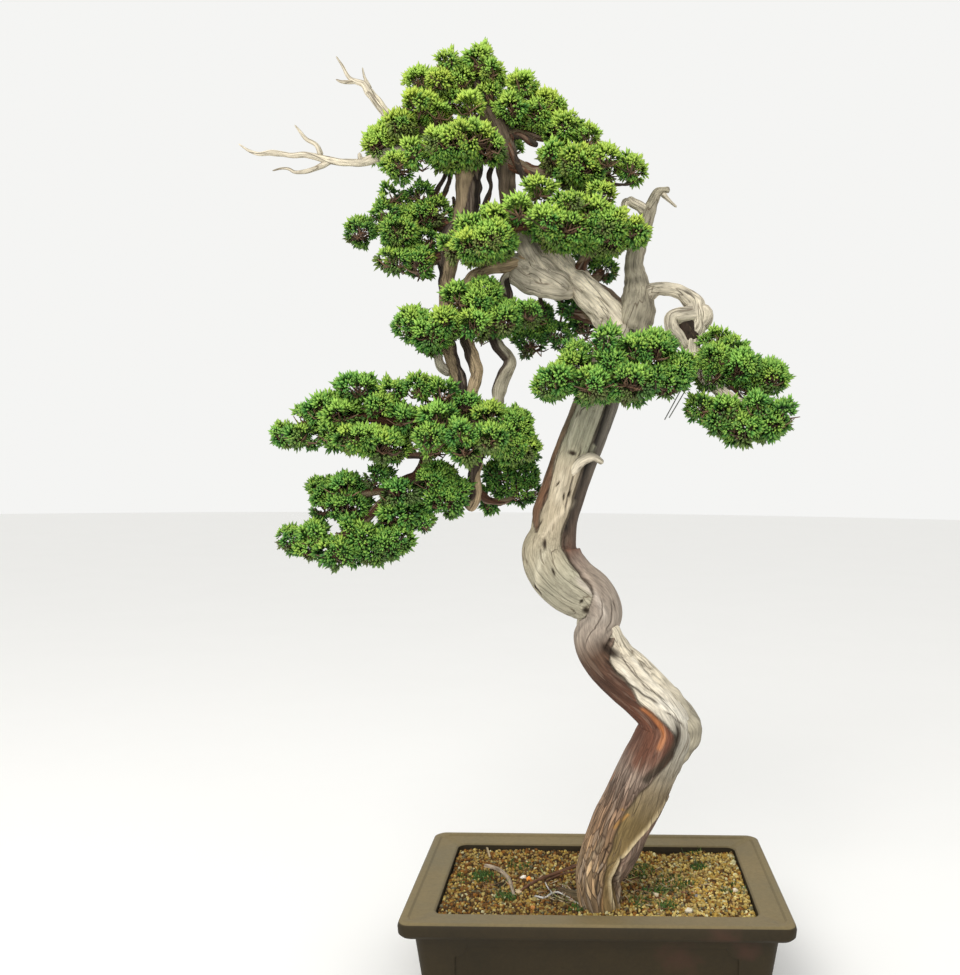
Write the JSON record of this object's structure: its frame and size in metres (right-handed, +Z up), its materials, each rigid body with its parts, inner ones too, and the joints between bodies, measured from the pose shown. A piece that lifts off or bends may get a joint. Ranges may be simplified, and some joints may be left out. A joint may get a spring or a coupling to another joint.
{
  "type": "potted juniper bonsai tree",
  "caption": "Leaning juniper bonsai with a winding, partly bare trunk, bleached dead branches and layered foliage pads, in a low rectangular stoneware pot of gravel.",
  "frame": {"origin": "centre of the whole object's footprint box, at the level of the pot's feet", "axes": "+Z up, -Y out of the front of the pot, +X to the right as seen from the front"},
  "size_m": [0.5784, 0.2722, 0.9723],
  "materials": {
    "stoneware": "unglazed olive-brown stoneware with a faint sheen and darker speckles",
    "gravel": "loose tan and yellow clay and pumice grains, about 4 mm across, with moss",
    "wood": "weathered cream-grey deadwood with a strip of live red-brown bark",
    "foliage": "bright green juniper scale leaves in dense sprays, yellower at the tips",
    "wire": "dull grey aluminium wire"
  },
  "bodies": {
    "root": {"pot": "stoneware", "soil": "gravel", "wood": "wood", "wire_left": "wire", "wire_right": "wire", "foliage_apex": "foliage", "foliage_crown_front": "foliage", "foliage_right_shelf": "foliage", "foliage_mid_left": "foliage", "foliage_mid_left_low": "foliage", "foliage_centre": "foliage", "foliage_back_small": "foliage", "foliage_shelf_left": "foliage", "foliage_back_mid": "foliage", "foliage_front": "foliage", "foliage_right": "foliage", "foliage_right_low": "foliage", "foliage_lower_left": "foliage", "foliage_low": "foliage", "foliage_lowest": "foliage", "foliage_back_crown": "foliage", "foliage_back_low": "foliage", "foliage_low_right": "foliage"}
  },
  "joints": []
}
